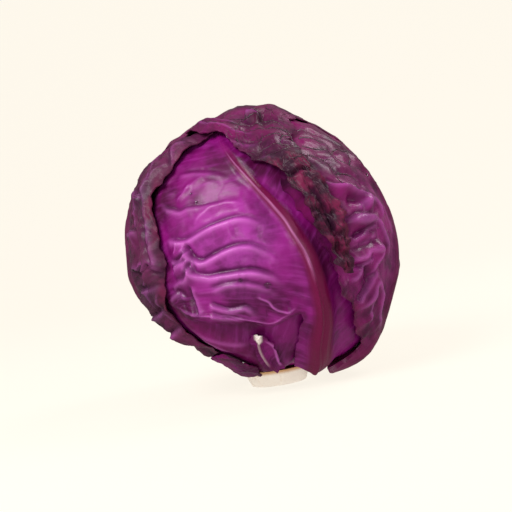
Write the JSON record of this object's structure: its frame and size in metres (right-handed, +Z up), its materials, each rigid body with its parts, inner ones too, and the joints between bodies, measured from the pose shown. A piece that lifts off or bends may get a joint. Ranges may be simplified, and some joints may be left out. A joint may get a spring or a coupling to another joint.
{
  "type": "red cabbage head",
  "caption": "Round head of red cabbage that stands on its cut stump, wrapped in puckered purple leaves with raised midribs and waved, partly shrivelled margins.",
  "frame": {"origin": "middle of the flat cut at the foot of the stump, on the surface that the head stands on", "axes": "+Z up from the stump to the crown, -Y towards the leaf with the thick midrib that faces the picture's camera, +X to that camera's right"},
  "size_m": [0.1664, 0.1643, 0.1682],
  "materials": {
    "purple_leaf": "smooth waxy purple leaf, satin",
    "bloomed_leaf": "purple leaf under a dusty grey wax bloom, matte",
    "heart_leaf": "dark inner leaf, satin",
    "cut_stalk": "pale, slightly moist cut stalk, matte"
  },
  "bodies": {
    "root": {"stump": "cut_stalk", "heart": "heart_leaf", "leaf_lower_left": "purple_leaf", "leaf_front": "purple_leaf", "leaf_back": "purple_leaf", "leaf_left": "bloomed_leaf", "leaf_remnant": "purple_leaf", "leaf_right": "purple_leaf", "leaf_top": "bloomed_leaf", "leaf_stub": "purple_leaf"}
  },
  "joints": []
}
